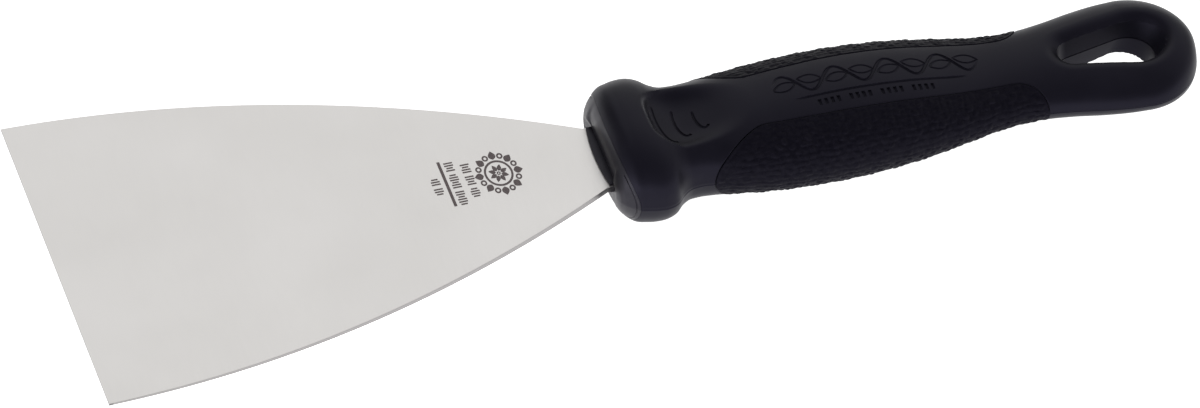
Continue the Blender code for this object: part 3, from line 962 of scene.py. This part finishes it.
def make_blade():
    stations = np.linspace(0, neck_start(), SIDE_STEPS + 1)[:-1]
    side = list(np.column_stack([stations, blade_half_width(stations)]))
    side += tang_outline(neck_start(), 0.0)
    outlines = [both_sides(side), *lock_holes(LOCK_HOLE_RADIUS)]
    mesh = plate(outlines, SHEET_HALF_THICKNESS, "blade", ARRIS)
    taper(mesh)
    blade = to_object("steel_blade", mesh)
    weighted = blade.modifiers.new("flat faces", "WEIGHTED_NORMAL")
    weighted.weight = 100
    weighted.keep_sharp = True
    return blade


def tang_room():
    """The room for the tang in the core, which leaves the core's three pins standing."""
    outlines = [both_sides(tang_outline(CAP_FRONT, SEAM)), *lock_holes(LOCK_HOLE_RADIUS - SEAM)]
    return plate(outlines, SHEET_HALF_THICKNESS + SEAM, "tang_room")


# ---- etched mark


def ribbon(path, width):
    """The outline of a stroke of even width along flat points."""
    along = np.gradient(path, axis=0)
    along /= np.linalg.norm(along, axis=1)[:, None]
    side = np.column_stack([-along[:, 1], along[:, 0]]) * width / 2
    return np.concatenate([path + side, (path - side)[::-1]])


def ring_pair(centre, radius, width, steps=48):
    """The outer and inner outlines of a ring whose line has this width."""
    return [arc(centre, radius + side * width / 2, full_turn(steps)) for side in (1, -1)]


def petal(centre, angle, inner, outer, half_width):
    """A petal that points away from the centre, between two distances from it."""
    t = np.linspace(0, 1, 9)
    reach = inner + (outer - inner) * t
    upper = np.column_stack([reach, half_width * np.sin(math.pi * t**PETAL_FULLNESS)])
    return leaf_shape(upper, angle, centre)


def rosette_outlines():
    """A ring round a small flower, with petals and dots outside it, all drawn out across the blade."""
    centre = np.array([ROSETTE_STATION, ROSETTE_ACROSS])
    groups = [ring_pair(centre, OVAL_RADIUS, OVAL_WIDTH)]
    for i in range(ROSETTE_PETALS):
        angle = 2 * math.pi * i / ROSETTE_PETALS
        groups.append([petal(centre, angle, *OUTER_PETAL)])
        between = angle + math.pi / ROSETTE_PETALS
        dot = centre + DOT_REACH * np.array([math.cos(between), math.sin(between)])
        groups.append(ring_pair(dot, DOT_RADIUS, DOT_WIDTH, SMALL_RING_STEPS))
        groups.append([petal(centre, between, *INNER_PETAL)])
    groups.append(ring_pair(centre, EYE_RADIUS, EYE_WIDTH, SMALL_RING_STEPS))
    stretch = (1, ROSETTE_STRETCH)
    return [[(outline - centre) * stretch + centre for outline in group] for group in groups]


def bar_row(station, start, end, word):
    """Short bars side by side in a row across the blade, with gaps like those between words."""
    groups = []
    for i, across in enumerate(np.arange(start, end, ROW_PITCH)):
        if i % word == word - 1:
            continue
        reach = BAR_HEIGHT / 2 * (1 if i % 3 else SHORT_BAR)
        bar = np.linspace((station - reach, across), (station + reach, across), 3)
        groups.append([ribbon(bar, BAR_WIDTH)])
    return groups


def make_mark():
    """The whole mark as thin closed plates that lie on the blade's upper face."""
    groups = rosette_outlines()
    for station, start, end, word in BAR_ROWS:
        groups += bar_row(station * MM, start * MM, end * MM, word)
    ends = [(MARK_RULE_STATION, across) for across in (MARK_RULE_START, MARK_RULE_END)]
    groups.append([ribbon(np.linspace(*ends, 3), MARK_RULE_WIDTH)])
    build = bmesh.new()
    for outlines in groups:
        mesh = plate(outlines, MARK_HALF_THICKNESS, "mark")
        build.from_mesh(mesh)
        bpy.data.meshes.remove(mesh)
    for vertex in build.verts:
        vertex.co.z += SHEET_HALF_THICKNESS * sheet_share(vertex.co.x)
    return to_object("etched_mark", finish_mesh(build, "etched_mark"))


# ---- materials


def new_material(name, level=0.5, specular=(1, 1, 1), metallic=0.0):
    """A material with the values that are the same all over it, its node tree and its inputs."""
    material = bpy.data.materials.new(name)
    material.use_nodes = True
    inputs = material.node_tree.nodes["Principled BSDF"].inputs
    inputs["Specular IOR Level"].default_value = level
    inputs["Specular Tint"].default_value = (*specular, 1)
    inputs["Metallic"].default_value = metallic
    return material, material.node_tree, inputs


def noise(tree, size, detail=2.0, stretch=(1, 1, 1)):
    """A noise texture whose features are about this size, in object coordinates."""
    place = tree.nodes.new("ShaderNodeTexCoord")
    scale = tree.nodes.new("ShaderNodeMapping")
    scale.inputs["Scale"].default_value = stretch
    tree.links.new(place.outputs["Object"], scale.inputs["Vector"])
    texture = tree.nodes.new("ShaderNodeTexNoise")
    texture.inputs["Scale"].default_value = 1 / size
    texture.inputs["Detail"].default_value = detail
    tree.links.new(scale.outputs["Vector"], texture.inputs["Vector"])
    return texture.outputs["Fac"]


def ramp(tree, source, start, end, low, high, kind="SMOOTHSTEP"):
    """A rise or fall from low to high while the source goes from start to end."""
    node = tree.nodes.new("ShaderNodeMapRange")
    node.interpolation_type = kind
    for socket, value in zip(node.inputs[1:5], (start, end, low, high)):
        socket.default_value = value
    tree.links.new(source, node.inputs["Value"])
    return node.outputs["Result"]


def spread(tree, source, low, high):
    """Maps a noise value on to a range."""
    return ramp(tree, source, NOISE_LOW, NOISE_HIGH, low, high, "LINEAR")


def tint(tree, source, dark, light):
    """Maps a noise value on to the colours between two."""
    node = tree.nodes.new("ShaderNodeValToRGB")
    for stop, place, color in zip(node.color_ramp.elements, (NOISE_LOW, NOISE_HIGH), (dark, light)):
        stop.position = place
        stop.color = (*color, 1)
    tree.links.new(source, node.inputs["Fac"])
    return node.outputs["Color"]


def bump(tree, source, distance, strength, below=None):
    """The normal of a relief of this height, over another relief if one is given."""
    node = tree.nodes.new("ShaderNodeBump")
    node.inputs["Distance"].default_value = distance
    node.inputs["Strength"].default_value = strength
    tree.links.new(source, node.inputs["Height"])
    if below:
        tree.links.new(below, node.inputs["Normal"])
    return node.outputs["Normal"]


def wire(tree, inputs, color, roughness, normal=None):
    """Links what a material has made to its shader."""
    tree.links.new(color, inputs["Base Color"])
    tree.links.new(roughness, inputs["Roughness"])
    if normal:
        tree.links.new(normal, inputs["Normal"])


def calculate(tree, operation, *values):
    node = tree.nodes.new("ShaderNodeMath")
    node.operation = operation
    for value, socket in zip(values, node.inputs):
        tree.links.new(value, socket)
    return node.outputs["Value"]


def body_plastic():
    material, tree, inputs = new_material("satin moulded plastic", 0.17, (0.72, 0.69, 1))
    patches = noise(tree, 9 * MM)
    color = tint(tree, patches, (0.0041, 0.0038, 0.0066), (0.0060, 0.0055, 0.0091))
    normal = bump(tree, noise(tree, 0.25 * MM, 3), 0.012 * MM, 0.5)
    wire(tree, inputs, color, spread(tree, patches, 0.37, 0.45), normal)
    return material


def core_plastic():
    material, tree, inputs = new_material("neutral moulded plastic", 0.38, (0.84, 0.81, 1))
    patches = noise(tree, 4 * MM)
    color = tint(tree, patches, (0.0050, 0.0046, 0.0064), (0.0072, 0.0067, 0.0086))
    normal = bump(tree, noise(tree, 0.2 * MM, 3), 0.015 * MM, 0.6)
    wire(tree, inputs, color, spread(tree, patches, 0.36, 0.46), normal)
    return material


def pad_rubber():
    material, tree, inputs = new_material("woven-texture rubber", 0.10, (0.78, 0.74, 1))
    mottle = noise(tree, 0.75 * MM, 3, stretch=(0.7, 1, 1))
    color = tint(tree, mottle, (0.0015, 0.0013, 0.0036), (0.0052, 0.0047, 0.0082))
    lumps = bump(tree, mottle, 0.12 * MM, 0.9)
    fibres = noise(tree, 0.12 * MM, 3, stretch=(0.35, 1, 1))
    normal = bump(tree, fibres, 0.02 * MM, 0.6, lumps)
    wire(tree, inputs, color, spread(tree, fibres, 0.52, 0.68), normal)
    return material


def side_face_shade(tree, face_color):
    """Darkens the sheet's narrow side faces, whose normals lie level, with painted shade and a painted
    dark reflection of the handle.
    """
    place = tree.nodes.new("ShaderNodeTexCoord")
    split = tree.nodes.new("ShaderNodeSeparateXYZ")
    tree.links.new(place.outputs["Normal"], split.inputs["Vector"])
    steepness = calculate(tree, "ABSOLUTE", split.outputs["Z"])
    level = ramp(tree, steepness, SIDE_LEVEL, FACE_LEVEL, 1.0, 0.0)
    mix = tree.nodes.new("ShaderNodeMixRGB")
    tree.links.new(level, mix.inputs["Fac"])
    tree.links.new(face_color, mix.inputs["Color1"])
    mix.inputs["Color2"].default_value = (*SIDE_SHADE_STEEL, 1)
    return mix.outputs["Color"]


def blade_steel():
    material, tree, inputs = new_material("satin stainless steel", metallic=1.0)
    patches = noise(tree, 30 * MM)
    # the sheet's narrow side faces get painted shade
    color = side_face_shade(tree, tint(tree, patches, (0.722, 0.706, 0.688), (0.758, 0.742, 0.726)))
    grain = noise(tree, 0.22 * MM, 4, stretch=(1, 0.04, 1))
    normal = bump(tree, grain, 0.002 * MM, 0.35)
    wire(tree, inputs, color, spread(tree, grain, 0.29, 0.33), normal)
    return material


def etched_steel():
    material, tree, inputs = new_material("etched oxide", 0.3, metallic=0.3)
    speckle = noise(tree, 0.18 * MM, 3)
    color = tint(tree, speckle, (0.090, 0.074, 0.076), (0.225, 0.188, 0.188))
    wire(tree, inputs, color, spread(tree, speckle, 0.5, 0.7))
    return material


def floor_material():
    material, tree, inputs = new_material("pale table", 0.1)
    color = tint(tree, noise(tree, 400 * MM), (0.61, 0.61, 0.61), (0.63, 0.63, 0.63))
    tree.links.new(color, inputs["Base Color"])
    inputs["Roughness"].default_value = 0.9
    inputs["Emission Color"].default_value = (1, 1, 1, 1)
    inputs["Emission Strength"].default_value = 1.0
    return material


# ---- pieces


def make_body():
    body = to_object("handle_shell", body_form())
    cutters = [cap_block(SEAM), core_bar(SEAM), hole_cutter()]
    cutters += groove_cutters() + ornament_cutters()
    cut(body, "DIFFERENCE", cutters)
    return body


def make_core():
    core = to_object("front_cap", nose_form())
    cut(core, "DIFFERENCE", ring_cutters())
    cut(core, "INTERSECT", [cap_block(0.0)])
    cut(core, "UNION", [core_bar(0.0), lip_plate()])
    cut(core, "DIFFERENCE", [tang_room()])
    return core


def make_floor():
    bpy.ops.mesh.primitive_plane_add(size=FLOOR_SIZE, location=(0, 0, CAD_LOW.z))
    floor = bpy.context.object
    floor.name = "floor"
    floor.data.materials.append(floor_material())


def glow(tree, direction, ramps):
    level, *others = [ramp(tree, direction.outputs[axis], *rest) for axis, *rest in ramps]
    for other in others:
        level = calculate(tree, "MULTIPLY", level, other)
    return level


def sky(tree):
    """The room's brightness by direction: bright half way up behind, and low down in front."""
    place = tree.nodes.new("ShaderNodeTexCoord")
    direction = tree.nodes.new("ShaderNodeSeparateXYZ")
    tree.links.new(place.outputs["Generated"], direction.inputs["Vector"])
    back, front = (glow(tree, direction, ramps) for ramps in (BACK_GLOW, FRONT_GLOW))
    return calculate(tree, "ADD", back, front)


def make_world():
    world = bpy.data.worlds.new("studio")
    world.use_nodes = True
    tree = world.node_tree
    background = tree.nodes["Background"]
    background.inputs["Color"].default_value = (1.0, 1.0, 1.0, 1)
    tree.links.new(sky(tree), background.inputs["Strength"])
    bpy.context.scene.world = world


def make_camera():
    camera = bpy.data.objects.new("camera", bpy.data.cameras.new("camera"))
    camera.data.sensor_width = SENSOR_WIDTH
    camera.data.lens = CAMERA_LENS
    bpy.context.scene.collection.objects.link(camera)
    bpy.context.scene.camera = camera
    level = math.cos(CAMERA_ELEVATION)
    x, y = math.sin(CAMERA_AZIMUTH) * level, -math.cos(CAMERA_AZIMUTH) * level
    back = Vector((x, y, math.sin(CAMERA_ELEVATION)))
    camera.rotation_euler = (-back).to_track_quat("-Z", "Y").to_euler()
    right = camera.rotation_euler.to_matrix() @ Vector((1, 0, 0))
    up = camera.rotation_euler.to_matrix() @ Vector((0, 1, 0))
    aim = Vector((CAD_LOW.x + CAMERA_AIM_STATION, 0, 0))
    aim += CAMERA_AIM_SIDE * right + CAMERA_AIM_RISE * up
    camera.location = aim + CAMERA_DISTANCE * back


def main():
    dress(make_blade(), blade_steel(), "blade", crease=60)
    dress(make_mark(), etched_steel(), None)
    dress(make_core(), core_plastic(), "handle_core")
    dress(make_body(), body_plastic(), "handle_body", crease=24)
    tree = seam_tree(0.0)
    rubber = pad_rubber()
    for side, flip in (("left", 1), ("right", -1)):
        pad = make_pad(f"{side}_pad", flip, tree)
        dress(pad, rubber, f"grip_pad_{side}", crease=70)
    make_floor()
    make_world()
    make_camera()
    bpy.context.scene.view_settings.view_transform = "Standard"


main()
